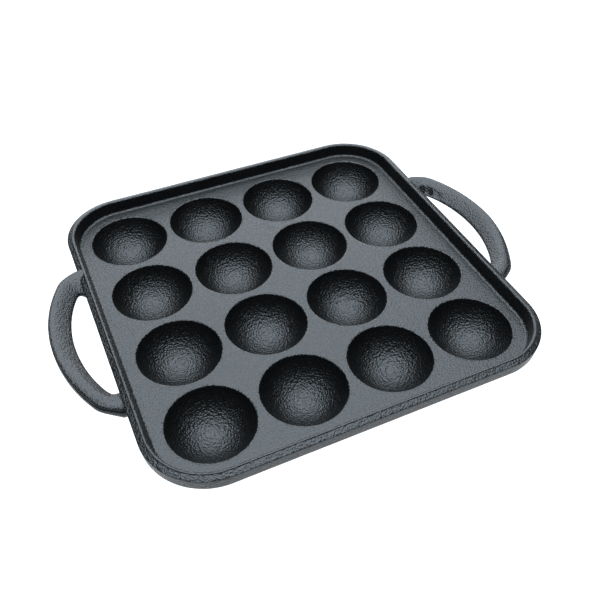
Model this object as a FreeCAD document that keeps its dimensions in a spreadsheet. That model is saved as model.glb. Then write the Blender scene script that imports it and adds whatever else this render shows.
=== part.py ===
import FreeCAD, Part
import os
import math
import Sketcher

# Cast-iron pan with sixteen round wells, in millimetres.
# +Z is up, X runs from handle to handle, Y from the near side to the far side.
# The origin is on the resting plane, under the middle of the tray.
# On the real pan every region below is one casting, so the regions meet face to face
# and none of them moves.

V = FreeCAD.Vector
doc = FreeCAD.newDocument("pan")

# ---------------------------------------------------------------- dimensions
dims = doc.addObject("Spreadsheet::Sheet", "Dims")
NUMBERS = [
    ("pitch", 48.5, "centre distance of the wells, both ways"),
    ("lip_radius", 22.0, "radius of a well where it opens in the tray floor"),
    ("well_depth", 18.0, "from the tray floor to the bottom of a well"),
    ("wall", 3.0, "thickness of a well's wall"),
    ("lip_round", 0.9, "rounding of the lip of a well"),
    ("mouth_radius", 23.4, "radius of the opening in the tray floor that a well's collar fills"),
    ("foot_wall", 2.3, "thickness under the middle of a well, where its foot is flat"),
    ("floor_thick", 3.6, "thickness of the tray floor"),
    ("half_width", 107.7, "half the width of the tray outside"),
    ("corner_round", 30.5, "outer corner radius of the tray in plan"),
    ("rim_height", 7.6, "rim top over the tray floor"),
    ("rim_foot", 101.9, "half width between the rim's inner faces at the floor"),
    ("rim_draft", 13.0, "draft of the rim's inner face, in degrees"),
    ("split", 100.1, "half width of the tray floor, where the rim takes over"),
    ("foot_round", 1.8, "fillet at the foot of the rim"),
    ("top_outer_round", 2.5, "outer top edge of the rim"),
    ("top_inner_round", 0.8, "inner top edge of the rim"),
    ("under_round", 5.0, "outer bottom edge of the rim"),
    ("handle_reach", 132.1, "middle plane to the outermost point of a handle"),
    ("bow_radius", 85.1, "outer radius of the bowed bar of a handle"),
    ("bar_width", 10.7, "width of the bar of a handle"),
    ("bar_height", 6.8, "height of the bar of a handle"),
    ("leg_outer", 48.6, "half distance over the legs of a handle"),
    ("leg_inner", 38.0, "half distance between the legs of a handle"),
    ("handle_corner", 10.7, "outer corner of a handle in plan"),
    ("hole_corner", 3.0, "corner of a handle's hole in plan"),
    ("grip_slope", 4.4, "sloped inner top edge of a handle"),
    ("handle_edge", 1.0, "rounding of a handle's other edges"),
    ("handle_root", 104.6, "how far in under the rim's round the legs start"),
]
for row, (alias, number, note) in enumerate(NUMBERS, start=1):
    dims.set("A%d" % row, note)
    dims.set("B%d" % row, repr(number))
    dims.setAlias("B%d" % row, alias)
DERIVED = [
    ("bowl_radius", "=(lip_radius * lip_radius + well_depth * well_depth) / (2 * well_depth)"),
    ("bowl_centre", "=foot_wall + bowl_radius"),
    ("dome_radius", "=bowl_radius + wall"),
    ("floor_top", "=foot_wall + well_depth"),
    ("floor_under", "=floor_top - floor_thick"),
    ("rim_top", "=floor_top + rim_height"),
    ("ring_height", "=rim_top - floor_under"),
    ("inner_round", "=corner_round - half_width + rim_foot"),
    ("split_round", "=corner_round - half_width + split"),
    ("bow_centre", "=handle_reach - bow_radius"),
    ("hole_radius", "=bow_radius - bar_width"),
    ("bar_under", "=rim_top - bar_height"),
]
for row, (alias, formula) in enumerate(DERIVED, start=len(NUMBERS) + 1):
    dims.set("B%d" % row, formula)
    dims.setAlias("B%d" % row, alias)
doc.recompute()


def d(alias):
    value = getattr(dims, alias)
    return float(getattr(value, "Value", value))


def plane(body, role):
    return [f for f in body.Origin.OriginFeatures if f.Role == role][0]


def lift(sketch, alias):
    """Raises a sketch over its plane by a cell of the sheet."""
    sketch.setExpression(".AttachmentOffset.Base.z", "Dims.%s" % alias)


def rounded(body, name, half, radius, height):
    """A centred square with round corners, on the horizontal plane lifted by a cell."""
    sk = body.newObject("Sketcher::SketchObject", name)
    sk.AttachmentSupport = (plane(body, "XY_Plane"), [""])
    sk.MapMode = "FlatFace"
    lift(sk, height)
    h, r = d(half), d(radius)
    q = h - r
    ends = [(V(-q, -h, 0), V(q, -h, 0)), (V(h, -q, 0), V(h, q, 0)), (V(q, h, 0), V(-q, h, 0)), (V(-h, q, 0), V(-h, -q, 0))]
    centres = [V(q, -q, 0), V(q, q, 0), V(-q, q, 0), V(-q, -q, 0)]
    for i in range(4):
        sk.addGeometry(Part.LineSegment(*ends[i]), False)
        start = math.radians(-90 + 90 * i)
        sk.addGeometry(Part.ArcOfCircle(Part.Circle(centres[i], V(0, 0, 1), r), start, start + math.pi / 2), False)
    for i in range(4):
        side, arc, after = 2 * i, 2 * i + 1, (2 * i + 2) % 8
        sk.addConstraint(Sketcher.Constraint("Tangent", side, 2, arc, 1))
        sk.addConstraint(Sketcher.Constraint("Tangent", arc, 2, after, 1))
    for i in (0, 4):
        sk.addConstraint(Sketcher.Constraint("Horizontal", i))
    for i in (2, 6):
        sk.addConstraint(Sketcher.Constraint("Vertical", i))
    for i in (3, 5, 7):
        sk.addConstraint(Sketcher.Constraint("Equal", 1, i))
    sk.addConstraint(Sketcher.Constraint("Symmetric", 1, 3, 5, 3, -1, 1))
    for name_, con, formula in (
        ("Corner", Sketcher.Constraint("Radius", 1, r), "Dims.%s" % radius),
        ("Wide", Sketcher.Constraint("DistanceX", 7, 3, 1, 3, 2 * q), "2 * (Dims.%s - Dims.%s)" % (half, radius)),
        ("Deep", Sketcher.Constraint("DistanceY", 1, 3, 3, 3, 2 * q), "2 * (Dims.%s - Dims.%s)" % (half, radius)),
    ):
        i = sk.addConstraint(con)
        sk.renameConstraint(i, name_)
        sk.setExpression("Constraints.%s" % name_, formula)
    return sk


def pick(shape, test):
    """Names of the edges that pass a test on points along them."""
    names = []
    for i, e in enumerate(shape.Edges, start=1):
        a, b = e.FirstParameter, e.LastParameter
        pts = [e.valueAt(a + (b - a) * k / 4.0) for k in range(5)]
        if test(e, pts):
            names.append("Edge%d" % i)
    return names


def round_edges(body, name, base, names, alias):
    f = body.newObject("PartDesign::Fillet", name)
    f.Base = (base, names)
    f.Radius = d(alias)
    f.setExpression("Radius", "Dims.%s" % alias)
    doc.recompute()
    return f


def flat_at(z, pts, near=0.01):
    return all(abs(p.z - z) < near for p in pts)


def upright(pts):
    return abs(pts[0].z - pts[-1].z) > 2.0


# ---------------------------------------------------------------- tray floor
floor = doc.addObject("PartDesign::Body", "Floor")
floor.Label = "cooking_plate"
sk = rounded(floor, "FloorOutline", "split", "split_round", "floor_under")
slab = floor.newObject("PartDesign::Pad", "FloorPad")
slab.Profile = sk
slab.setExpression("Length", "Dims.floor_thick")
doc.recompute()

# One well's mouth is cut at the first corner of the grid, then repeated four by four.
cut = floor.newObject("Sketcher::SketchObject", "MouthOutline")
cut.AttachmentSupport = (plane(floor, "XY_Plane"), [""])
cut.MapMode = "FlatFace"
lift(cut, "floor_top")
m = -1.5 * d("pitch")
cut.addGeometry(Part.Circle(V(m, m, 0), V(0, 0, 1), d("mouth_radius")), False)
for name_, con, formula in (
    ("Mouth", Sketcher.Constraint("Radius", 0, d("mouth_radius")), "Dims.mouth_radius"),
    ("AlongX", Sketcher.Constraint("DistanceX", 0, 3, -1, 1, -m), "1.5 * Dims.pitch"),
    ("AlongY", Sketcher.Constraint("DistanceY", 0, 3, -1, 1, -m), "1.5 * Dims.pitch"),
):
    i = cut.addConstraint(con)
    cut.renameConstraint(i, name_)
    cut.setExpression("Constraints.%s" % name_, formula)
doc.recompute()
before = slab.Shape.Volume
hole = floor.newObject("PartDesign::Pocket", "Mouth")
hole.Profile = cut
hole.setExpression("Length", "Dims.floor_thick")
doc.recompute()
one = before - hole.Shape.Volume
assert abs(one - math.pi * d("mouth_radius") ** 2 * d("floor_thick")) < 1.0, one
grid = floor.newObject("PartDesign::MultiTransform", "MouthGrid")
grid.Originals = [hole]
lines = []
for name_, role in (("MouthRow", "X_Axis"), ("MouthColumn", "Y_Axis")):
    line = floor.newObject("PartDesign::LinearPattern", name_)
    line.Direction = (plane(floor, role), [""])
    line.Mode = "Extent"
    line.setExpression("Length", "3 * Dims.pitch")
    line.Occurrences = 4
    lines.append(line)
grid.Transformations = lines
floor.Tip = grid
doc.recompute()
sixteen = before - grid.Shape.Volume
print("one mouth takes %.1f mm3, sixteen take %.1f" % (one, sixteen))
assert abs(sixteen - 16 * one) < 1.0

# ---------------------------------------------------------------- rim
rim = doc.addObject("PartDesign::Body", "Rim")
rim.Label = "rim"
sk = rounded(rim, "RimOutline", "half_width", "corner_round", "floor_under")
pad = rim.newObject("PartDesign::Pad", "RimPad")
pad.Profile = sk
pad.setExpression("Length", "Dims.ring_height")
doc.recompute()
last = pad

sk = rounded(rim, "TrayOutline", "rim_foot", "inner_round", "floor_top")
was = last.Shape.Volume
tray = rim.newObject("PartDesign::Pocket", "Tray")
tray.Profile = sk
tray.Reversed = True
tray.setExpression("Length", "Dims.rim_height")
tray.setExpression("TaperAngle", "Dims.rim_draft")
doc.recompute()
print("tray hollow takes %.0f mm3 of %.0f" % (was - tray.Shape.Volume, 4 * d("rim_foot") ** 2 * d("rim_height")))
assert was - tray.Shape.Volume > 3.95 * d("rim_foot") ** 2 * d("rim_height")
sk = rounded(rim, "FloorGap", "split", "split_round", "floor_top")
was = tray.Shape.Volume
gap = rim.newObject("PartDesign::Pocket", "FloorSpace")
gap.Profile = sk
gap.setExpression("Length", "Dims.floor_thick")
doc.recompute()
print("floor space takes %.0f mm3 of %.0f" % (was - gap.Shape.Volume, 4 * d("split") ** 2 * d("floor_thick")))
assert was - gap.Shape.Volume > 3.9 * d("split") ** 2 * d("floor_thick")
last = gap


def spread(p):
    """Half width of the rounded square about the corner centres that passes through a point."""
    q = d("half_width") - d("corner_round")
    x, y = abs(p.x) - q, abs(p.y) - q
    if x > 0 and y > 0:
        return q + math.hypot(x, y)
    return q + max(x, y)


def loop(shape, z, half):
    """The edges that lie at a height, on the rounded square of a half width."""
    return pick(shape, lambda e, p: flat_at(z, p) and all(abs(spread(k) - half) < 0.3 for k in p))


mouth = d("rim_foot") + d("rim_height") * math.tan(math.radians(d("rim_draft")))
for name_, z, half, alias in (
    ("RimFoot", "floor_top", d("rim_foot"), "foot_round"),
    ("RimTopInner", "rim_top", mouth, "top_inner_round"),
    ("RimTopOuter", "rim_top", d("half_width"), "top_outer_round"),
    ("RimUnder", "floor_under", d("half_width"), "under_round"),
):
    found = loop(last.Shape, d(z), half)
    was = last.Shape.Volume
    last = round_edges(rim, name_, last, found, alias)
    print("%s: %d edges, %.0f mm3" % (name_, len(found), last.Shape.Volume - was))
    assert len(found) == 8


# ---------------------------------------------------------------- handles
def outline(body, name, bow, leg, root, height):
    """A D in plan: a bow about a point on the X axis, two legs, and a straight root."""
    sk = body.newObject("Sketcher::SketchObject", name)
    sk.AttachmentSupport = (plane(body, "XY_Plane"), [""])
    sk.MapMode = "FlatFace"
    lift(sk, height)
    c, r, y, x0 = d("bow_centre"), d(bow), d(leg), root
    xe = c + math.sqrt(r * r - y * y)
    a = math.atan2(y, xe - c)
    sk.addGeometry(Part.ArcOfCircle(Part.Circle(V(c, 0, 0), V(0, 0, 1), r), -a, a), False)
    sk.addGeometry(Part.LineSegment(V(xe, y, 0), V(x0, y, 0)), False)
    sk.addGeometry(Part.LineSegment(V(x0, y, 0), V(x0, -y, 0)), False)
    sk.addGeometry(Part.LineSegment(V(x0, -y, 0), V(xe, -y, 0)), False)
    sk.addConstraint(Sketcher.Constraint("Coincident", 0, 2, 1, 1))
    sk.addConstraint(Sketcher.Constraint("Coincident", 1, 2, 2, 1))
    sk.addConstraint(Sketcher.Constraint("Coincident", 2, 2, 3, 1))
    sk.addConstraint(Sketcher.Constraint("Coincident", 3, 2, 0, 1))
    sk.addConstraint(Sketcher.Constraint("Horizontal", 1))
    sk.addConstraint(Sketcher.Constraint("Horizontal", 3))
    sk.addConstraint(Sketcher.Constraint("Symmetric", 1, 2, 2, 2, -1))
    sk.addConstraint(Sketcher.Constraint("PointOnObject", 0, 3, -1))
    for name_, con, formula in (
        ("Bow", Sketcher.Constraint("Radius", 0, r), "Dims.%s" % bow),
        ("Centre", Sketcher.Constraint("DistanceX", -1, 1, 0, 3, c), "Dims.bow_centre"),
        ("Legs", Sketcher.Constraint("DistanceY", 2, 2, 2, 1, 2 * y), "2 * Dims.%s" % leg),
        ("Root", Sketcher.Constraint("DistanceX", -1, 1, 1, 2, x0), "Dims.handle_root - %g" % (d("handle_root") - x0)),
    ):
        i = sk.addConstraint(con)
        sk.renameConstraint(i, name_)
        sk.setExpression("Constraints.%s" % name_, formula)
    return sk


def handle(name, label, turn):
    """A bowed bar on two legs. Its legs run in under the rim's outer round and are trimmed to it."""
    body = doc.addObject("PartDesign::Body", name + "Bar")
    sk = outline(body, name + "Outline", "bow_radius", "leg_outer", d("handle_root"), "bar_under")
    pad = body.newObject("PartDesign::Pad", name + "Pad")
    pad.Profile = sk
    pad.setExpression("Length", "Dims.bar_height")
    doc.recompute()
    far = pick(pad.Shape, lambda e, p: upright(p) and p[2].x > d("handle_root") + 5)
    assert len(far) == 2
    last = round_edges(body, name + "Corners", pad, far, "handle_corner")
    was = last.Shape.Volume
    sk = outline(body, name + "Hole", "hole_radius", "leg_inner", d("handle_root") - 2.0, "rim_top")
    hole = body.newObject("PartDesign::Pocket", name + "Gap")
    hole.Profile = sk
    hole.Type = "ThroughAll"
    doc.recompute()
    print("%s: the gap takes %.0f of %.0f mm3" % (label, was - hole.Shape.Volume, was))
    assert was - hole.Shape.Volume > 0.4 * was
    far = pick(hole.Shape, lambda e, p: upright(p) and abs(abs(p[2].y) - d("leg_inner")) < 0.01 and p[2].x > d("handle_root") + 2)
    assert len(far) == 2
    last = round_edges(body, name + "GapCorners", hole, far, "hole_corner")

    def inside(p):
        """True on the wall of the gap."""
        off = math.hypot(p.x - d("bow_centre"), p.y)
        return p.x > d("handle_root") + 0.01 and abs(p.y) < d("leg_inner") + 0.01 and off < d("hole_radius") + 0.01

    top = pick(last.Shape, lambda e, p: flat_at(d("rim_top"), p) and inside(p[2]) and inside(p[1]) and inside(p[3]))
    last = round_edges(body, name + "Slope", last, top, "grip_slope")
    rest = pick(
        last.Shape,
        lambda e, p: p[2].x > d("handle_root") + 0.01
        and not inside(p[2])
        and (flat_at(d("bar_under"), p) or flat_at(d("rim_top"), p))
        and (abs(p[2].y) > d("leg_outer") - 0.01
             or math.hypot(p[2].x - d("bow_centre"), p[2].y) > d("bow_radius") - 0.01
             or math.hypot(p[2].x - d("bow_centre") - math.sqrt((d("bow_radius") - d("handle_corner")) ** 2 - (d("leg_outer") - d("handle_corner")) ** 2),
                           abs(p[2].y) - d("leg_outer") + d("handle_corner")) > d("handle_corner") - 0.01),
    )
    last = round_edges(body, name + "Edges", last, rest, "handle_edge")
    if turn:
        body.Placement = FreeCAD.Placement(V(0, 0, 0), FreeCAD.Rotation(V(0, 0, 1), 180))
    doc.recompute()
    piece = doc.addObject("Part::Cut", name)
    piece.Base = body
    piece.Tool = rim
    piece.Label = label
    doc.recompute()
    return piece


right = handle("RightHandle", "handle_right", False)
left = handle("LeftHandle", "handle_left", True)


# ---------------------------------------------------------------- wells
def well(row, column):
    """A dome with a flat foot under the tray floor, a collar in the floor's mouth, and the bowl cut through both."""
    tag = "R%dC%d" % (row, column)
    dome = doc.addObject("Part::Sphere", "Dome" + tag)
    dome.setExpression("Radius", "Dims.dome_radius")
    dome.setExpression(".Placement.Base.z", "Dims.bowl_centre")
    below = doc.addObject("Part::Cylinder", "Below" + tag)
    below.setExpression("Radius", "Dims.dome_radius + 1")
    below.setExpression("Height", "Dims.floor_under")
    cup = doc.addObject("Part::Common", "Cup" + tag)
    cup.Base = dome
    cup.Tool = below
    collar = doc.addObject("Part::Cylinder", "Collar" + tag)
    collar.setExpression("Radius", "Dims.mouth_radius")
    collar.setExpression("Height", "Dims.floor_thick + 1")
    collar.setExpression(".Placement.Base.z", "Dims.floor_under - 1")
    solid = doc.addObject("Part::Fuse", "Solid" + tag)
    solid.Base = cup
    solid.Tool = collar
    bowl = doc.addObject("Part::Sphere", "Bowl" + tag)
    bowl.setExpression("Radius", "Dims.bowl_radius")
    bowl.setExpression(".Placement.Base.z", "Dims.bowl_centre")
    shell = doc.addObject("Part::Cut", "Shell" + tag)
    shell.Base = solid
    shell.Tool = bowl
    doc.recompute()
    lips = [
        i
        for i, e in enumerate(shell.Shape.Edges, start=1)
        if abs(e.Length - 2 * math.pi * d("lip_radius")) < 0.01
        and abs(e.BoundBox.ZMax - d("floor_top")) < 0.01
    ]
    assert len(lips) == 1, (tag, lips)
    piece = doc.addObject("Part::Fillet", "Well" + tag)
    piece.Base = shell
    piece.Edges = [(i, d("lip_round"), d("lip_round")) for i in lips]
    piece.setExpression(".Placement.Base.x", "(%g) * Dims.pitch" % (column - 2.5))
    piece.setExpression(".Placement.Base.y", "(%g) * Dims.pitch" % (2.5 - row))
    piece.Label = "well_r%d_c%d" % (row, column)
    return piece


wells = [well(row, column) for row in (1, 2, 3, 4) for column in (1, 2, 3, 4)]
doc.recompute()

# ---------------------------------------------------------------- tests and files
bad = [(o.Name, list(o.State)) for o in doc.Objects if "Invalid" in o.State or "Error" in o.State]
assert not bad, bad
pieces = [floor, rim, left, right] + wells
total = 0.0
box = FreeCAD.BoundBox()
for piece in pieces:
    s = piece.Shape
    assert not s.isNull() and s.isValid(), piece.Label
    assert len(s.Solids) == 1, (piece.Label, len(s.Solids))
    total += s.Volume
    box.add(s.BoundBox)
    print("%-14s %9.1f mm3  z %.2f to %.2f" % (piece.Label, s.Volume, s.BoundBox.ZMin, s.BoundBox.ZMax))
print("all: %.1f cm3, %.2f kg of iron, %.1f x %.1f x %.1f mm" % (
    total / 1000, total * 7.15e-6, box.XLength, box.YLength, box.ZLength))
os.makedirs("parts", exist_ok=True)
for piece in pieces:
    piece.Shape.exportStep("parts/%s.step" % piece.Label)
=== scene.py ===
import math

import bpy
import numpy as np
from mathutils import Matrix, Vector


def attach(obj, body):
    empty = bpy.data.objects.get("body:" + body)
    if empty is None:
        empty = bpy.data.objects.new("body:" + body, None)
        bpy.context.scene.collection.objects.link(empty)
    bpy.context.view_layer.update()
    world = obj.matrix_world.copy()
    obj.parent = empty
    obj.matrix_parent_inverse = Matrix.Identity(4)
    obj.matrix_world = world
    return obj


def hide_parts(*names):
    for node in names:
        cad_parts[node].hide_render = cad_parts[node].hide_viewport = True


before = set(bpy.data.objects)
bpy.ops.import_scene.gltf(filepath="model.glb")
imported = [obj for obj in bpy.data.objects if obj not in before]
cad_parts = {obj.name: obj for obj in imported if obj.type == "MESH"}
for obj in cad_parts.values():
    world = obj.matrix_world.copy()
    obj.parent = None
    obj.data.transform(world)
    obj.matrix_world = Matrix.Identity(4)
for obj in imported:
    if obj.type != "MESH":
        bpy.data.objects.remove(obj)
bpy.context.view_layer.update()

# ------------------------------------------------------------------ sizes, in millimetres
PITCH = 48.5
LIP_R, DEPTH, WALL, LIP_ROUND = 22.0, 18.0, 3.0, 0.9
MOUTH_R = 23.4
FOOT_WALL = 2.3
FLOOR_TOP = FOOT_WALL + DEPTH
FLOOR_UNDER = FLOOR_TOP - 3.6
RIM_TOP = FLOOR_TOP + 7.6
BOWL_R = (LIP_R ** 2 + DEPTH ** 2) / (2 * DEPTH)
BOWL_Z = FOOT_WALL + BOWL_R
DOME_R = BOWL_R + WALL
HALF, CORNER = 107.7, 33.6
CORE = HALF - CORNER            # the corner arcs are all struck from (CORE, CORE)
SPLIT = 100.1
RIM_FOOT = 101.9
DRAFT = math.radians(13.0)


# ------------------------------------------------------------------ cast unevenness
def hashed(ix, iy, iz, seed):
    h = (ix.astype(np.int64) * 374761393 + iy.astype(np.int64) * 668265263
         + iz.astype(np.int64) * 2147483647 + seed * 974634777) & 0xFFFFFFFF
    h = ((h ^ (h >> 13)) * 1274126177) & 0xFFFFFFFF
    h = ((h ^ (h >> 16)) * 2246822519) & 0xFFFFFFFF
    return ((h ^ (h >> 15)) & 0xFFFFFF) / float(0xFFFFFF)


def lumps(p, size, seed):
    """Smooth value noise from -1 to 1 at points p, with features about size across."""
    q = p / size
    base = np.floor(q)
    f = q - base
    f = f * f * f * (f * (f * 6 - 15) + 10)
    b = base.astype(np.int64)
    out = np.zeros(len(p))
    for dx in (0, 1):
        wx = f[:, 0] if dx else 1 - f[:, 0]
        for dy in (0, 1):
            wy = f[:, 1] if dy else 1 - f[:, 1]
            for dz in (0, 1):
                wz = f[:, 2] if dz else 1 - f[:, 2]
                out += wx * wy * wz * hashed(b[:, 0] + dx, b[:, 1] + dy, b[:, 2] + dz, seed)
    return out * 2 - 1


def cast(p, coarse=0.022, fine=0.020):
    """How far the cast skin stands off its nominal surface, in mm."""
    return coarse * lumps(p, 6.5, 1) + 0.6 * coarse * lumps(p + 31.7, 2.9, 2) + fine * lumps(p + 11.3, 1.35, 3)


# ------------------------------------------------------------------ meshes
def make(name, verts, faces, push=None, sharp=38.0):
    """A closed mesh from vertices in mm and faces, moved along push by the cast unevenness."""
    verts = np.asarray(verts, float)
    if push is not None:
        verts = verts + push * cast(verts)[:, None]
    me = bpy.data.meshes.new(name)
    me.from_pydata((verts * 0.001).tolist(), [], [tuple(int(i) for i in f) for f in faces])
    me.validate()
    me.update()
    me.polygons.foreach_set("use_smooth", np.ones(len(me.polygons), bool))
    me.set_sharp_from_angle(angle=math.radians(sharp))
    ob = bpy.data.objects.new(name, me)
    bpy.context.scene.collection.objects.link(ob)
    return ob


def rounded_profile(points, radii, step=0.45):
    """A closed outline through corner points, each rounded by its radius, counterclockwise or not."""
    n, out = len(points), []
    pts = [np.array(p, float) for p in points]
    for i in range(n):
        a, b, c = pts[i - 1], pts[i], pts[(i + 1) % n]
        r = radii[i]
        u, v = (a - b) / np.linalg.norm(a - b), (c - b) / np.linalg.norm(c - b)
        half = math.acos(max(-1.0, min(1.0, float(u @ v)))) / 2
        if r <= 0 or half > math.pi / 2 - 0.01:
            out.append(b)
            continue
        t = r / math.tan(half)
        start, end = b + u * t, b + v * t
        centre = b + (u + v) / np.linalg.norm(u + v) * (r / math.sin(half))
        a0 = math.atan2(*(start - centre)[::-1])
        a1 = math.atan2(*(end - centre)[::-1])
        da = (a1 - a0 + math.pi) % (2 * math.pi) - math.pi
        k = max(3, int(abs(da) * r / step) + 1)
        for j in range(k + 1):
            ang = a0 + da * j / k
            out.append(centre + r * np.array([math.cos(ang), math.sin(ang)]))
    full = []
    for i, p in enumerate(out):
        q = out[(i + 1) % len(out)]
        gap = np.linalg.norm(q - p)
        k = max(1, int(round(gap / (2.2 * step))))
        for j in range(k):
            full.append(p + (q - p) * j / k)
    return np.array(full)


def outline_normals(prof):
    """Outward normals of a closed outline that runs counterclockwise."""
    t = np.roll(prof, -1, 0) - np.roll(prof, 1, 0)
    n = np.stack([t[:, 1], -t[:, 0]], 1)
    return n / np.maximum(np.linalg.norm(n, axis=1, keepdims=True), 1e-9)


# ---- wells
def smooth_min(a, b, k):
    h = np.maximum(k - np.abs(a - b), 0.0)
    return np.minimum(a, b) - h * h / (4 * k)


def dome_z(r):
    inside = np.maximum(DOME_R ** 2 - r ** 2, 0.0)
    z = BOWL_Z - np.sqrt(inside)
    return np.where(r < DOME_R - 0.02, z, BOWL_Z + 4 * (r - DOME_R + 0.02))


def well(row, column):
    cx, cy = (column - 2.5) * PITCH, (2.5 - row) * PITCH
    half = PITCH / 2
    right = half if column < 4 else 25.7
    left = half if column > 1 else 25.7
    far = half if row > 1 else 25.7
    near = half if row < 4 else 25.7
    n = 192
    ang = np.arange(n) * 2 * math.pi / n
    for x, y in ((right, far), (-left, far), (-left, -near), (right, -near)):
        want = math.atan2(y, x) % (2 * math.pi)
        ang[int(round(want / (2 * math.pi / n))) % n] = want
    c, s = np.cos(ang), np.sin(ang)
    reach = np.full(n, 1e9)
    for a, lim in ((c, right), (-c, left), (s, far), (-s, near)):
        reach = np.minimum(reach, np.where(a > 1e-9, lim / np.maximum(a, 1e-9), 1e9))

    near_edge = 98.3
    low, high = np.full(n, 20.0), reach.copy()
    for _ in range(30):
        half_way = (low + high) / 2
        ox = np.maximum(np.abs(cx + half_way * c) - CORE, 0)
        oy = np.maximum(np.abs(cy + half_way * s) - CORE, 0)
        inside = np.hypot(ox, oy) <= near_edge - CORE
        low, high = np.where(inside, half_way, low), np.where(inside, high, half_way)
    reach = low

    rings, pushes = [], []

    def ring(r, z, nr, nz):
        """One ring: radius and height, and the direction of the cast skin."""
        r = np.broadcast_to(np.asarray(r, float), (n,))
        z = np.broadcast_to(np.asarray(z, float), (n,))
        rings.append(np.stack([cx + r * c, cy + r * s, z], 1))
        pushes.append(np.stack([nr * c, nr * s, np.full(n, nz)], 1))

    # bowl, from the bottom up
    top_angle = math.acos((BOWL_Z - FLOOR_TOP) / BOWL_R)
    r_lip = LIP_ROUND
    # the lip round touches the bowl from outside it and the floor from below
    rc = math.sqrt((BOWL_R + r_lip) ** 2 - (BOWL_Z - (FLOOR_TOP - r_lip)) ** 2)
    zc = FLOOR_TOP - r_lip
    meet = math.atan2(rc, BOWL_Z - zc)
    for a in np.linspace(0.02, meet, 46)[:-1]:
        ring(BOWL_R * math.sin(a), BOWL_Z - BOWL_R * math.cos(a), -math.sin(a), math.cos(a))
    start = math.atan2(BOWL_Z - zc, -rc)
    for t in np.linspace(start, math.pi / 2, 9):
        ring(rc + r_lip * math.cos(t), zc + r_lip * math.sin(t), math.cos(t), math.sin(t))
    ring((rc + MOUTH_R) / 2, FLOOR_TOP, 0, 1)
    ring(MOUTH_R, FLOOR_TOP, 0, 1)
    # collar and the web that joins the domes under the floor
    ring(MOUTH_R, FLOOR_UNDER + 0.5, 0, 0)
    ring(reach, FLOOR_UNDER + 0.5, 0, 0)

    def under(r):
        x, y = cx + r * c, cy + r * s
        near_z = np.full(n, 1e9)
        for i in range(4):
            for j in range(4):
                dx, dy = x - (i - 1.5) * PITCH, y - (j - 1.5) * PITCH
                near_z = smooth_min(near_z, dome_z(np.hypot(dx, dy)), 1.6)
        return smooth_min(near_z, FLOOR_UNDER, 3.2)

    for f in (1.0, 0.9, 0.78, 0.64, 0.5, 0.36, 0.24, 0.12, 0.0):
        r = 23.3 + (reach - 23.3) * f
        ring(r, under(r), 0, -1)
    for r in (22.6, 21.8, 20.9, 19.9, 18.8, 17.6, 16.3, 14.9, 13.4, 11.8, 10.2, 8.7, 7.4):
        nr = r / DOME_R
        ring(r, under(np.full(n, r)), nr, -math.sqrt(1 - nr * nr))
    foot = math.sqrt(DOME_R ** 2 - BOWL_Z ** 2)
    ring(foot + 0.55, 0.10, 0.15, -0.2)
    ring(foot + 0.15, 0.0, 0, 0)
    ring(foot * 0.6, 0.0, 0, 0)
    ring(0.25, 0.0, 0, 0)

    v = np.concatenate(rings)
    push = np.concatenate(pushes)
    m = len(rings)
    faces = []
    for k in range(m - 1):
        for i in range(n):
            j = (i + 1) % n
            faces.append((k * n + j, k * n + i, (k + 1) * n + i, (k + 1) * n + j))
    v = np.concatenate([v, [[cx, cy, FOOT_WALL], [cx, cy, 0.0]]])
    push = np.concatenate([push, [[0, 0, 1], [0, 0, 0]]])
    for i in range(n):
        j = (i + 1) % n
        faces.append((m * n, i, j))
        faces.append((m * n + 1, (m - 1) * n + j, (m - 1) * n + i))
    return make("well_r%d_c%d_skin" % (row, column), v, faces, push)


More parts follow.
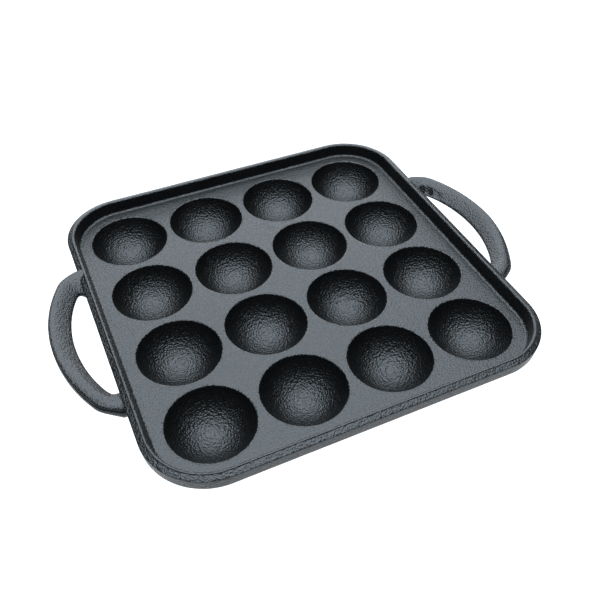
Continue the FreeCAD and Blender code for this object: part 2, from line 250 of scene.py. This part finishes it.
# ---- tray floor
def floor_plate():
    """The floor with sixteen round mouths. Each cell is a ring of quads from its mouth out to its border."""
    half = PITCH / 2
    wide = SPLIT - 1.5 * PITCH
    rc = SPLIT - CORE
    verts, faces, push = [], [], []
    borders = []                 # outer border points, for the side wall

    def side(a, b):
        k = max(1, int(round(abs(b - a) / 1.01)))
        return [a + (b - a) * i / k for i in range(k)]

    for row in range(4):
        for col in range(4):
            cx, cy = (col - 1.5) * PITCH, (row - 1.5) * PITCH
            x1 = wide if col == 3 else half
            x0 = -wide if col == 0 else -half
            y1 = wide if row == 3 else half
            y0 = -wide if row == 0 else -half
            q = CORE - 1.5 * PITCH
            pts = []             # counterclockwise from the lower right corner

            def stretch(lo, hi):
                """Stations from lo to hi that neighbours share, with the half pitch among them."""
                stops = [lo] + [k for k in (-half, half) if lo + 1e-6 < k < hi - 1e-6] + [hi]
                out = []
                for a, b in zip(stops, stops[1:]):
                    out += side(a, b)
                return out

            def corner(sx, sy, start):
                k = 40
                return [(sx * q + rc * math.cos(start + math.pi / 2 * i / k),
                         sy * q + rc * math.sin(start + math.pi / 2 * i / k)) for i in range(k)]

            se, ne = (col == 3 and row == 0), (col == 3 and row == 3)
            nw, sw = (col == 0 and row == 3), (col == 0 and row == 0)
            pts += [(x1, y) for y in stretch(-q if se else y0, q if ne else y1)]
            if ne:
                pts += corner(1, 1, 0)
            pts += [(-x, y1) for x in stretch(-(q if ne else x1), -(-q if nw else x0))]
            if nw:
                pts += corner(-1, 1, math.pi / 2)
            pts += [(x0, -y) for y in stretch(-(q if nw else y1), -(-q if sw else y0))]
            if sw:
                pts += corner(-1, -1, math.pi)
            pts += [(x, y0) for x in stretch(-q if sw else x0, q if se else x1)]
            if se:
                pts += corner(1, -1, -math.pi / 2)
            outer = np.array(pts)
            ang = np.arctan2(outer[:, 1], outer[:, 0])
            inner = MOUTH_R * np.stack([np.cos(ang), np.sin(ang)], 1)
            n, rings = len(outer), 11
            base = len(verts)
            for k in range(rings + 1):
                f = k / rings
                ring = inner + (outer - inner) * f
                for x, y in ring:
                    verts.append((cx + x, cy + y, FLOOR_TOP))
                    push.append((0, 0, 1))
            for k in range(rings):
                for i in range(n):
                    j = (i + 1) % n
                    faces.append((base + k * n + i, base + (k + 1) * n + i, base + (k + 1) * n + j, base + k * n + j))
            low = len(verts)
            for ring in (inner, outer):
                for x, y in ring:
                    verts.append((cx + x, cy + y, FLOOR_UNDER))
                    push.append((0, 0, 0))
            for i in range(n):
                j = (i + 1) % n
                faces.append((base + i, base + j, low + j, low + i))
                faces.append((low + i, low + j, low + n + j, low + n + i))
            top = base + rings * n
            for i in range(n):
                j = (i + 1) % n
                mid = (outer[i] + outer[j]) / 2 + np.array([cx, cy])
                a, b = outer[i] + (cx, cy), outer[j] + (cx, cy)
                edge = max(abs(mid[0]), abs(mid[1])) > SPLIT - 0.02
                dx, dy = abs(mid[0]) - CORE, abs(mid[1]) - CORE
                if dx > 0 and dy > 0 and abs(math.hypot(dx, dy) - rc) < 0.05:
                    edge = True
                if edge:
                    faces.append((top + j, top + i, low + n + i, low + n + j))
    ob = make("cooking_plate_skin", verts, faces, np.array(push, float))
    me = ob.data
    import bmesh
    bm = bmesh.new()
    bm.from_mesh(me)
    bmesh.ops.remove_doubles(bm, verts=bm.verts, dist=0.00002)
    bmesh.ops.recalc_face_normals(bm, faces=bm.faces)
    bm.to_mesh(me)
    bm.free()
    me.update()
    me.set_sharp_from_angle(angle=math.radians(38))
    return ob


# ---- rim
def rim():
    prof = rounded_profile(
        [
            (SPLIT, FLOOR_UNDER),
            (HALF - 1.0, FLOOR_UNDER),
            (HALF - 0.12, RIM_TOP - 2.9),
            (HALF - 0.05, RIM_TOP - 1.55),
            (104.95, RIM_TOP - 0.42),
            (104.65, RIM_TOP - 0.08),
            (103.35, RIM_TOP - 0.06),
            (RIM_FOOT - 0.25, FLOOR_TOP),
            (SPLIT, FLOOR_TOP),
        ],
        [0, 4.4, 0, 0.35, 0.15, 0.2, 1.5, 1.8, 0],
        step=0.3,
    )
    nrm = outline_normals(prof)
    nrm[np.abs(prof[:, 0] - SPLIT) < 1e-6] = (0, 1)
    flat = (np.abs(prof[:, 0] - SPLIT) < 1e-6) & (prof[:, 1] < FLOOR_TOP - 0.01)
    nrm[flat] = 0
    # stations: straight sides and corner arcs
    stations = []
    side = np.arange(-CORE, CORE, 2 * CORE / 150)
    for k in range(4):
        turn = k * math.pi / 2
        for y in side:
            stations.append((turn, y, 0.0))
        for a in np.linspace(0, math.pi / 2, 45)[:-1]:
            stations.append((turn, None, a))
    verts, push = [], []
    for turn, y, a in stations:
        c, s = math.cos(turn), math.sin(turn)
        if y is None:
            d = np.array([math.cos(a), math.sin(a)])
            o = np.array([CORE, CORE])
        else:
            d = np.array([1.0, 0.0])
            o = np.array([CORE, y])
        xy = o[None, :] + d[None, :] * (prof[:, :1] - CORE)
        verts.append(np.stack([xy[:, 0] * c - xy[:, 1] * s, xy[:, 0] * s + xy[:, 1] * c, prof[:, 1]], 1))
        dd = d[None, :] * nrm[:, :1]
        push.append(np.stack([dd[:, 0] * c - dd[:, 1] * s, dd[:, 0] * s + dd[:, 1] * c, nrm[:, 1]], 1))
    n, m = len(prof), len(stations)
    v = np.concatenate(verts)
    faces = []
    for k in range(m):
        k2 = (k + 1) % m
        for i in range(n):
            j = (i + 1) % n
            faces.append((k * n + i, k2 * n + i, k2 * n + j, k * n + j))
    return make("rim_skin", v, faces, np.concatenate(push))


# ---- handles
REACH, BOW_R, BAR_W, LEG_OUT, LEG_IN = 131.95, 85.1, 10.7, 48.6, 38.0
BAR_UNDER = RIM_TOP - 6.8


def rounded_path(points, radii, step):
    """An open path through corner points, each inner corner rounded."""
    pts = [np.array(p, float) for p in points]
    out = [pts[0]]
    for i in range(1, len(pts) - 1):
        a, b, c = pts[i - 1], pts[i], pts[i + 1]
        r = radii[i]
        u, v = (a - b) / np.linalg.norm(a - b), (c - b) / np.linalg.norm(c - b)
        half = math.acos(max(-1.0, min(1.0, float(u @ v)))) / 2
        t = r / math.tan(half)
        start, end = b + u * t, b + v * t
        centre = b + (u + v) / np.linalg.norm(u + v) * (r / math.sin(half))
        a0 = math.atan2(*(start - centre)[::-1])
        a1 = math.atan2(*(end - centre)[::-1])
        da = (a1 - a0 + math.pi) % (2 * math.pi) - math.pi
        k = max(4, int(abs(da) * r / step) + 1)
        for j in range(k + 1):
            ang = a0 + da * j / k
            out.append(centre + r * np.array([math.cos(ang), math.sin(ang)]))
    out.append(pts[-1])
    return np.array(out)


def resample(path, count):
    seg = np.linalg.norm(np.diff(path, axis=0), axis=1)
    s = np.concatenate([[0], np.cumsum(seg)])
    t = np.linspace(0, s[-1], count)
    return np.stack([np.interp(t, s, path[:, k]) for k in range(2)], 1), t


def handle(name, sign):
    """A bowed bar on two legs that widen into the rim. Its outer and inner outlines are lofted."""
    bow_c = REACH - BOW_R
    root = 104.4

    def d_shape(radius, leg, corner, x_start):
        """Half of a D, from the root of the near leg to the middle of the bow, then mirrored."""
        xe = bow_c + math.sqrt(radius ** 2 - leg ** 2)
        bow = []
        a_end = math.atan2(leg, xe - bow_c)
        # leg line, corner arc tangent to the leg and to the bow, then the bow
        cyc = leg - corner
        cxc = bow_c + math.sqrt((radius - corner) ** 2 - cyc ** 2)
        pts = [(x_start, leg), (cxc, leg)]
        a1 = math.atan2(cyc, cxc - bow_c)
        for a in np.linspace(math.pi / 2, a1, 26)[1:]:
            pts.append((cxc + corner * math.cos(a), cyc + corner * math.sin(a)))
        for a in np.linspace(a1, 0, 60)[1:]:
            pts.append((bow_c + radius * math.cos(a), radius * math.sin(a)))
        return np.array(pts)

    outer = d_shape(BOW_R, LEG_OUT, 10.7, root)
    inner = d_shape(BOW_R - BAR_W - 0.4, LEG_IN, 3.0, root)
    count = 110
    # pair the two outlines: equal shares of the leg, then of the bow
    def split(path, x_cut, na, nb):
        k = int(np.argmax(path[:, 0] > x_cut))
        f = (x_cut - path[k - 1, 0]) / (path[k, 0] - path[k - 1, 0])
        cut = path[k - 1] + (path[k] - path[k - 1]) * f
        a = np.concatenate([path[:k], [cut]])
        b = np.concatenate([[cut], path[k:]])
        return np.concatenate([resample(a, na)[0], resample(b, nb)[0][1:]])

    o = split(outer, 112.5, 16, count - 15)
    i_ = split(inner, 109.2, 16, count - 15)
    o[:, 1] *= -1
    i_[:, 1] *= -1
    o = np.concatenate([o, (o * (1, -1))[::-1][1:]])
    i_ = np.concatenate([i_, (i_ * (1, -1))[::-1][1:]])
    m = len(o)

    # the section: across from the gap, and up from the underside
    corners = np.array([
        (0.3, 0.8), (0.0, 1.4), (0.08, 2.15), (0.9, 2.95), (2.4, 4.0), (4.1, 5.15), (5.7, 6.15), (7.1, 6.88),
        (8.3, 7.24), (9.5, 7.3), (10.0, 7.12), (10.12, 6.8), (10.35, 6.62), (10.62, 6.45), (10.78, 6.0),
        (10.86, 4.0), (10.75, 2.0), (10.4, 0.9), (9.5, 0.25), (8.0, 0.0), (5.0, -0.05), (2.4, 0.0), (1.0, 0.25),
    ])[::-1]
    m4 = len(corners)
    sect = []
    for k in range(m4):
        p0, p1, p2, p3 = (corners[(k + q) % m4] for q in (-1, 0, 1, 2))
        steps = max(2, int(round(np.linalg.norm(p2 - p1) / 0.42)))
        for j in range(steps):
            t = j / steps
            sect.append(0.5 * (2 * p1 + (p2 - p0) * t + (2 * p0 - 5 * p1 + 4 * p2 - p3) * t * t
                               + (3 * p1 - p0 - 3 * p2 + p3) * t ** 3))
    sect = np.array(sect)[::-1]
    area = 0.5 * np.sum(sect[:, 0] * np.roll(sect[:, 1], -1) - np.roll(sect[:, 0], -1) * sect[:, 1])
    if area < 0:
        sect = sect[::-1]
    n = len(sect)
    nrm = outline_normals(sect)
    verts, push = [], []
    for k in range(m):
        a, b = i_[k], o[k]
        across = (b - a)
        w = np.linalg.norm(across)
        across = across / w
        off = max((a[0] + b[0]) / 2 - HALF, 0.0)
        g = max(1 - off / 8.0, 0.0) ** 2          # 1 at the rim, 0 where the leg ends
        h = max(1 - off / 14.0, 0.0) ** 2
        far_leg = 1.0 if a[1] * sign > 0 else 0.0
        wide_in, wide_out = 2.0 * g + far_leg * 0.9 * h, 2.6 * g
        if sign < 0 and a[1] > 0:                 # the left handle hangs a little towards the near side
            slide = min(a[1] / 34.0, 1.0) ** 2
            wide_in, wide_out = wide_in - 1.3 * slide, wide_out + 1.1 * slide
        a2, b2 = a - across * wide_in, b + across * wide_out
        sc = np.linalg.norm(b2 - a2) / 10.86
        drop = 2.9 * g + 0.6 * h
        tall = RIM_TOP - 0.15 - (BAR_UNDER - 0.75 - drop)
        toward = float(np.clip(-a[1] * sign / 38.0, 0, 1))
        lean = 0.9 * toward * toward * (3 - 2 * toward)
        high = np.clip((sect[:, 1] - 2.0) / 3.5, 0, 1)
        up = sect[:, 1] - 3.3 * lean * high * np.clip((sect[:, 0] - 4.6) / 6.2, 0, 1)
        if sign > 0 and far_leg:                  # a rough hollow inside the far root
            hollow = math.exp(-((off - 6.5) / 5.0) ** 2) * (1 + 0.35 * math.sin(off * 1.7))
            up = up - 1.7 * hollow * np.clip((4.4 - sect[:, 0]) / 2.4, 0, 1) * np.clip((sect[:, 1] - 1.6) / 1.6, 0, 1)
        z = RIM_TOP - 0.15 - tall + up * (tall / 7.25)
        xy = a2[None, :] + across[None, :] * (sect[:, :1] * sc)
        verts.append(np.stack([xy[:, 0], xy[:, 1], z], 1))
        dd = across[None, :] * nrm[:, :1]
        push.append(np.stack([dd[:, 0], dd[:, 1], nrm[:, 1]], 1))
    v, p = np.concatenate(verts), np.concatenate(push)
    v[:, :2] *= sign
    p[:, :2] *= sign
    faces = []
    for k in range(m - 1):
        for i in range(n):
            j = (i + 1) % n
            faces.append((k * n + i, (k + 1) * n + i, (k + 1) * n + j, k * n + j))
    faces.append(tuple(range(n)))
    faces.append(tuple((m - 1) * n + i for i in range(n))[::-1])
    ob = make(name + "_skin", v, faces, p)
    import bmesh
    bm = bmesh.new()
    bm.from_mesh(ob.data)
    bmesh.ops.recalc_face_normals(bm, faces=bm.faces)
    bm.to_mesh(ob.data)
    bm.free()
    return ob


# ------------------------------------------------------------------ material
def iron(name, grain, bump, rough, dark):
    """Black seasoned cast iron: a pebbled skin, half matt, with faint mottling."""
    mat = bpy.data.materials.new(name)
    mat.use_nodes = True
    nt = mat.node_tree
    nt.nodes.clear()
    N = nt.nodes.new
    out = N("ShaderNodeOutputMaterial")
    bsdf = N("ShaderNodeBsdfPrincipled")
    nt.links.new(bsdf.outputs[0], out.inputs[0])
    coord = N("ShaderNodeTexCoord")

    def noise(size_mm, detail=2.0, rough_=0.5, offset=0.0):
        m = N("ShaderNodeMapping")
        m.inputs["Location"].default_value = (offset, offset * 0.7, offset * 1.3)
        nt.links.new(coord.outputs["Object"], m.inputs["Vector"])
        t = N("ShaderNodeTexNoise")
        t.inputs["Scale"].default_value = 1000.0 / size_mm
        t.inputs["Detail"].default_value = detail
        t.inputs["Roughness"].default_value = rough_
        nt.links.new(m.outputs[0], t.inputs["Vector"])
        return t

    def ramp(src, stops):
        r = N("ShaderNodeValToRGB")
        el = r.color_ramp.elements
        el[0].position, el[0].color = stops[0][0], (*stops[0][1], 1)
        el[1].position, el[1].color = stops[-1][0], (*stops[-1][1], 1)
        for pos, col in stops[1:-1]:
            e = el.new(pos)
            e.color = (*col, 1)
        nt.links.new(src, r.inputs[0])
        return r

    mottle = noise(14.0, 3.0, 0.6, 0.3)
    speck = noise(grain * 1.6, 2.0, 0.6, 0.9)
    mix = N("ShaderNodeMath")
    mix.operation = "MULTIPLY_ADD"
    mix.inputs[1].default_value = 0.45
    nt.links.new(mottle.outputs["Fac"], mix.inputs[0])
    half = N("ShaderNodeMath")
    half.operation = "MULTIPLY"
    half.inputs[1].default_value = 0.55
    nt.links.new(speck.outputs["Fac"], half.inputs[0])
    nt.links.new(half.outputs[0], mix.inputs[2])
    lo = [dark * k for k in (0.62, 0.66, 0.74)]
    hi = [dark * k for k in (1.30, 1.40, 1.55)]
    col = ramp(mix.outputs[0], [(0.35, lo), (0.65, hi)])
    nt.links.new(col.outputs[0], bsdf.inputs["Base Color"])

    rr = N("ShaderNodeMapRange")
    rr.inputs["From Min"].default_value = 0.3
    rr.inputs["From Max"].default_value = 0.7
    rr.inputs["To Min"].default_value = rough - 0.06
    rr.inputs["To Max"].default_value = rough + 0.08
    nt.links.new(speck.outputs["Fac"], rr.inputs[0])
    nt.links.new(rr.outputs[0], bsdf.inputs["Roughness"])

    pebble = N("ShaderNodeTexVoronoi")
    pebble.feature = "SMOOTH_F1"
    pebble.inputs["Scale"].default_value = 1000.0 / (grain * 1.25)
    pebble.inputs["Smoothness"].default_value = 0.6
    warp = N("ShaderNodeMixRGB")
    warp.blend_type = "ADD"
    warp.inputs[0].default_value = 0.0006
    nt.links.new(coord.outputs["Object"], warp.inputs[1])
    wn = noise(grain * 2.0, 2.0, 0.5, 2.2)
    nt.links.new(wn.outputs["Color"], warp.inputs[2])
    nt.links.new(warp.outputs[0], pebble.inputs["Vector"])
    fine = noise(grain * 0.62, 0.0, 0.5, 1.7)
    soft = N("ShaderNodeMath")
    soft.operation = "MULTIPLY"
    soft.inputs[1].default_value = 0.45
    nt.links.new(fine.outputs["Fac"], soft.inputs[0])
    height = N("ShaderNodeMath")
    height.operation = "MULTIPLY_ADD"
    height.inputs[1].default_value = -0.8
    nt.links.new(pebble.outputs["Distance"], height.inputs[0])
    nt.links.new(soft.outputs[0], height.inputs[2])
    b = N("ShaderNodeBump")
    b.inputs["Strength"].default_value = 1.0
    b.inputs["Distance"].default_value = bump * 0.001
    nt.links.new(height.outputs[0], b.inputs["Height"])
    nt.links.new(b.outputs[0], bsdf.inputs["Normal"])
    bsdf.inputs["Specular IOR Level"].default_value = 0.6
    bsdf.inputs["Specular Tint"].default_value = (0.86, 0.94, 1.0, 1.0)
    return mat


plate_iron = iron("cast_iron_plate", 0.85, 0.26, 0.36, 0.0022)
# the wells get a darker copy of the iron (dark 0.0012 against 0.0022 on the plate and rim): painted shade in the
# wells
shaded_well_iron = iron("cast_iron_well_painted_shade", 0.92, 0.42, 0.37, 0.0012)
edge_iron = iron("cast_iron_edge", 0.85, 0.30, 0.36, 0.0022)

pieces = []
for row in (1, 2, 3, 4):
    for column in (1, 2, 3, 4):
        ob = well(row, column)
        # the darker well iron is painted shade in the hollows
        ob.data.materials.append(shaded_well_iron)
        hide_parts("well_r%d_c%d" % (row, column))
        pieces.append(ob)
ob = floor_plate()
ob.data.materials.append(plate_iron)
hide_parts("cooking_plate")
pieces.append(ob)
ob = rim()
ob.data.materials.append(edge_iron)
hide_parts("rim")
pieces.append(ob)
for name, sign in (("handle_right", 1), ("handle_left", -1)):
    ob = handle(name, sign)
    ob.data.materials.append(edge_iron)
    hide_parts(name)
    pieces.append(ob)
for ob in pieces:
    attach(ob, "root")

# ------------------------------------------------------------------ stage
scene = bpy.context.scene
bpy.ops.mesh.primitive_plane_add(size=14.0, location=(0, 0, -0.0003))
ground = bpy.context.object
ground.name = "ground"
gm = bpy.data.materials.new("paper")
gm.use_nodes = True
nt = gm.node_tree
nt.nodes.clear()
out = nt.nodes.new("ShaderNodeOutputMaterial")
add = nt.nodes.new("ShaderNodeAddShader")
em = nt.nodes.new("ShaderNodeEmission")
em.inputs["Color"].default_value = (0.94, 0.97, 1.0, 1)
em.inputs["Strength"].default_value = 1.35
df = nt.nodes.new("ShaderNodeBsdfDiffuse")
df.inputs["Color"].default_value = (0.08, 0.08, 0.08, 1)
nt.links.new(em.outputs[0], add.inputs[0])
nt.links.new(df.outputs[0], add.inputs[1])
nt.links.new(add.outputs[0], out.inputs[0])
ground.data.materials.append(gm)

world = bpy.data.worlds.new("room")
scene.world = world
world.use_nodes = True
world.node_tree.nodes["Background"].inputs[0].default_value = (0.94, 0.97, 1.0, 1)
world.node_tree.nodes["Background"].inputs[1].default_value = 1.4
seen_by = world.cycles_visibility      # the paper goes on beyond the floor, and lights nothing
seen_by.diffuse = seen_by.glossy = seen_by.transmission = seen_by.scatter = False

AWAY = Vector((0.395, 0.919, 0.0)).normalized()


def softbox(name, ahead, aside, height, along, across, radiance, tint=(1, 1, 1), tilt=0.0):
    """A flat lamp over the table. ahead runs away from the camera, aside to its right."""
    data = bpy.data.lights.new(name, "AREA")
    data.shape = "RECTANGLE"
    data.size, data.size_y = across, along
    data.energy = radiance * math.pi * along * across
    data.color = tint
    ob = bpy.data.objects.new(name, data)
    scene.collection.objects.link(ob)
    right = Vector((AWAY.y, -AWAY.x, 0))
    pos = AWAY * ahead + right * aside + Vector((0, 0, height))
    ob.matrix_world = (
        Matrix.Translation(pos)
        @ Matrix.Rotation(-math.atan2(AWAY.x, AWAY.y), 4, "Z")
        @ Matrix.Rotation(tilt, 4, "X")
    )
    return ob


softbox("top", 0.58, -0.03, 1.2, 2.45, 2.05, 3.8, (0.93, 0.97, 1.0))
softbox("over", -0.06, 0.02, 1.15, 1.55, 1.9, 2.0, (0.93, 0.97, 1.0))


def card(name, ahead, aside, height, wide, tall, radiance, tint=(1, 1, 1)):
    """A flat lamp at the edge of the set, facing the pan."""
    data = bpy.data.lights.new(name, "AREA")
    data.shape = "RECTANGLE"
    data.size, data.size_y = wide, tall
    data.energy = radiance * math.pi * wide * tall
    data.color = tint
    ob = bpy.data.objects.new(name, data)
    scene.collection.objects.link(ob)
    right = Vector((AWAY.y, -AWAY.x, 0))
    pos = AWAY * ahead + right * aside + Vector((0, 0, height))
    ob.matrix_world = Matrix.Translation(pos) @ (-pos).to_track_quat("-Z", "Y").to_matrix().to_4x4()
    return ob


card("backdrop", 3.0, -0.3, 0.85, 3.4, 1.4, 5.0, (0.93, 0.97, 1.0))

# ------------------------------------------------------------------ camera
F_PX = 715.409
RV = (2.31336837, -0.503460974, 0.207003497)
T = (-0.12552006, -0.218172039, 8.35001567)
R = np.array(Matrix.Rotation(Vector(RV).length, 3, Vector(RV).normalized()))
C = -R.T @ np.array(T) * (PITCH * 0.001) + np.array([0, 0, FLOOR_TOP * 0.001])
cam_data = bpy.data.cameras.new("camera")
cam_data.sensor_width = 36.0
cam_data.lens = 36.0 * F_PX / 600.0
cam_data.clip_start = 0.01
cam_data.clip_end = 50
cam = bpy.data.objects.new("camera", cam_data)
scene.collection.objects.link(cam)
M = R.T @ np.diag([1.0, -1.0, -1.0])
cam.matrix_world = Matrix.Translation(Vector(C)) @ Matrix(M.tolist()).to_4x4()
scene.camera = cam
scene.view_settings.view_transform = "Standard"
scene.view_settings.gamma = 0.88
